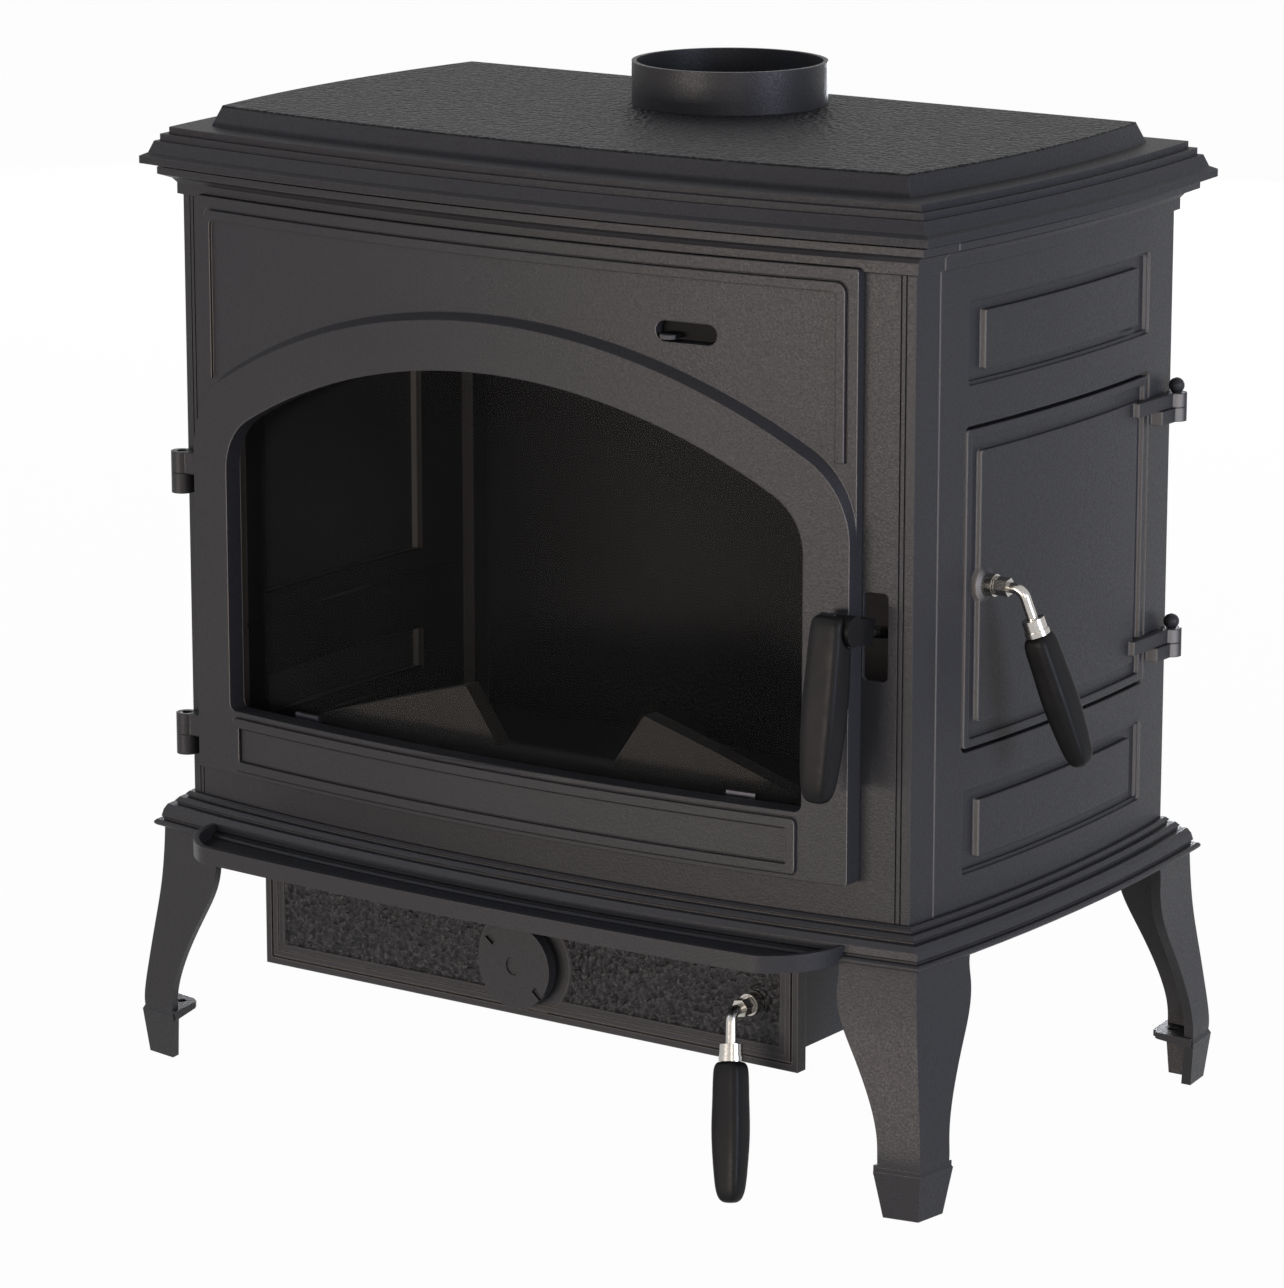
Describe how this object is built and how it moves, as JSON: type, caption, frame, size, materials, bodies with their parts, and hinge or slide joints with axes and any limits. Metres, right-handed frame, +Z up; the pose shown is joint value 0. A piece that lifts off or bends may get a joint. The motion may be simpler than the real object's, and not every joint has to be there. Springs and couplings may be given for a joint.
{
  "type": "wood stove",
  "caption": "Cast iron wood stove with bowed sides on cabriole legs, a glazed arched front door, a side loading door, an ash door and a top flue collar.",
  "frame": {"origin": "middle of the outline on the floor, under the whole part with its handles", "axes": "+Z up, the glazed front faces -Y, the side loading door faces +X"},
  "size_m": [0.7788, 0.4887, 0.7806],
  "materials": {
    "matt_painted_iron": "matt charcoal stove paint on sand-cast iron",
    "bare_iron": "dark unpainted casting",
    "sheet_steel": "matt black sheet",
    "polished_steel": "turned and polished",
    "bright_steel": "zinc plated",
    "ceramic_glass": "clear heat-proof glass",
    "fibre_rope": "braided glass fibre",
    "black_grip": "satin moulded phenolic"
  },
  "bodies": {
    "stove": {"top_plate": "matt_painted_iron", "flue_collar": "matt_painted_iron", "collar_bolts": "bright_steel", "front_frame": "matt_painted_iron", "side_panel_right": "matt_painted_iron", "side_panel_left": "matt_painted_iron", "back_panel": "matt_painted_iron", "base_plate": "matt_painted_iron", "ash_lip": "matt_painted_iron", "leg_front_right": "matt_painted_iron", "leg_front_left": "matt_painted_iron", "leg_rear_right": "matt_painted_iron", "leg_rear_left": "matt_painted_iron", "leg_bolts": "bright_steel", "log_guard": "bare_iron", "grate": "bare_iron", "baffle_plate": "bare_iron", "front_hinge_pins": "matt_painted_iron", "side_hinge_pins": "matt_painted_iron", "ash_box": "sheet_steel", "ash_hinge_pins": "bright_steel", "ash_pan": "sheet_steel"},
    "front_door_leaf": {"front_door": "matt_painted_iron", "door_glass": "ceramic_glass", "glass_gasket": "fibre_rope", "glass_clips": "bright_steel", "clip_screws": "bright_steel", "door_rope_seal": "fibre_rope", "air_guide": "sheet_steel", "handle_pin": "bright_steel"},
    "front_handle": {"front_latch": "matt_painted_iron", "latch_tongue": "polished_steel", "front_grip": "black_grip"},
    "air_control": {"air_slider": "sheet_steel"},
    "side_door_leaf": {"side_door": "matt_painted_iron", "side_door_seal": "fibre_rope", "side_spindle_bush": "polished_steel"},
    "side_handle": {"side_handle_shaft": "polished_steel", "side_handle_nut": "polished_steel", "side_handle_ferrule": "polished_steel", "side_handle_grip": "black_grip", "side_latch": "bright_steel"},
    "ash_door_leaf": {"ash_door": "matt_painted_iron", "ash_door_seal": "fibre_rope", "ash_spindle_bush": "polished_steel"},
    "ash_handle": {"ash_handle_shaft": "polished_steel", "ash_handle_nut": "polished_steel", "ash_handle_ferrule": "polished_steel", "ash_handle_grip": "black_grip", "ash_latch": "bright_steel"},
    "air_dial_body": {"air_dial": "matt_painted_iron", "dial_screw": "bright_steel"}
  },
  "joints": [
    {"name": "front_door_hinge", "type": "hinge", "parent": "stove", "child": "front_door_leaf", "pos_m": [-0.352, -0.1601, 0.36], "axis": [0, 0, -1], "range_deg": [0, 110]},
    {"name": "front_handle_pivot", "type": "hinge", "parent": "front_door_leaf", "child": "front_handle", "pos_m": [0.275, -0.1886, 0.431], "axis": [-1, 0, 0], "range_deg": [0, 40]},
    {"name": "air_slider_slide", "type": "slide", "parent": "front_door_leaf", "child": "air_control", "axis": [0.9967, 0.0812, 0], "range_m": [0, 0.03]},
    {"name": "side_door_hinge", "type": "hinge", "parent": "stove", "child": "side_door_leaf", "pos_m": [0.315, 0.2044, 0.45], "axis": [0, 0, 1], "range_deg": [0, 110]},
    {"name": "side_handle_turn", "type": "hinge", "parent": "side_door_leaf", "child": "side_handle", "pos_m": [0.315, -0.0656, 0.447], "axis": [-1, 0, 0], "range_deg": [0, 80]},
    {"name": "ash_door_hinge", "type": "hinge", "parent": "stove", "child": "ash_door_leaf", "pos_m": [-0.264, -0.1496, 0.135], "axis": [0, 0, -1], "range_deg": [0, 100]},
    {"name": "ash_handle_turn", "type": "hinge", "parent": "ash_door_leaf", "child": "ash_handle", "pos_m": [0.1825, -0.1666, 0.136], "axis": [0, -1, 0], "range_deg": [0, 80]},
    {"name": "air_dial_turn", "type": "hinge", "parent": "ash_door_leaf", "child": "air_dial_body", "pos_m": [-0.025, -0.1666, 0.131], "axis": [0, 1, 0], "range_deg": [0, 90]}
  ]
}
